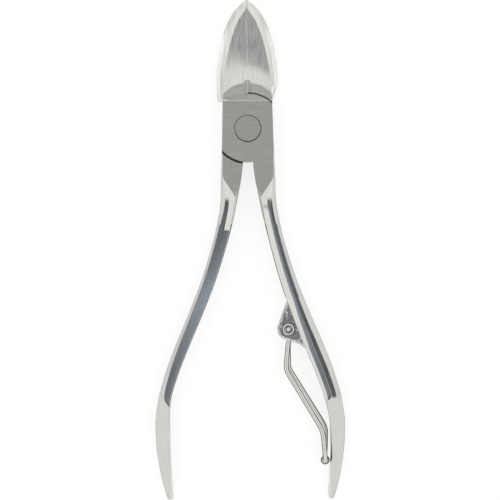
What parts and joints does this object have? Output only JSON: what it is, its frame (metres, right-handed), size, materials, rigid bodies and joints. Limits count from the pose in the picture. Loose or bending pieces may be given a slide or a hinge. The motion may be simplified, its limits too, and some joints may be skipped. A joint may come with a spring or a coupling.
{
  "type": "nail nipper",
  "caption": "Plier-type nail nipper with a lap joint, bowed handles and a folding wire spring with a roller.",
  "frame": {"origin": "pivot axis at the rear face of the joint, which is the plane the nipper rests on", "axes": "+Z along the pivot axis out of the front face, +Y towards the jaw tips, +X towards the handle that carries the spring"},
  "size_m": [0.0494, 0.1302, 0.007],
  "materials": {
    "front_lever_steel": "mirror-polished handles and rims, satin joint, brushed jaw face",
    "rear_lever_steel": "mirror-polished handles and rims, satin joint, brushed jaw face",
    "rivet_steel": "satin, ground flush with the joint",
    "pin_steel": "turned, with rounded ends",
    "collar_steel": "turned and bright",
    "wire_steel": "bright drawn wire",
    "roller_steel": "turned and bright"
  },
  "bodies": {
    "front_lever": {"front_lever": "front_lever_steel", "pivot_rivet": "rivet_steel", "spring_pin": "pin_steel", "spring_collar_front": "collar_steel", "spring_collar_rear": "collar_steel"},
    "rear_lever": {"rear_lever": "rear_lever_steel"},
    "spring": {"spring_wire": "wire_steel"},
    "roller": {"spring_roller": "roller_steel"}
  },
  "joints": [
    {"name": "lever_pivot", "type": "hinge", "parent": "front_lever", "child": "rear_lever", "pos_m": [0, 0, 0.0035], "axis": [0, 0, -1], "range_deg": [0, 30]},
    {"name": "spring_swing", "type": "hinge", "parent": "front_lever", "child": "spring", "pos_m": [0.01015, -0.0524, 0.0035], "axis": [0, 0, -1], "range_deg": [0, 70]},
    {"name": "roller_spin", "type": "hinge", "parent": "spring", "child": "roller", "pos_m": [0.01945, -0.0866, 0.0035], "axis": [0, 0, 1], "continuous": true}
  ]
}
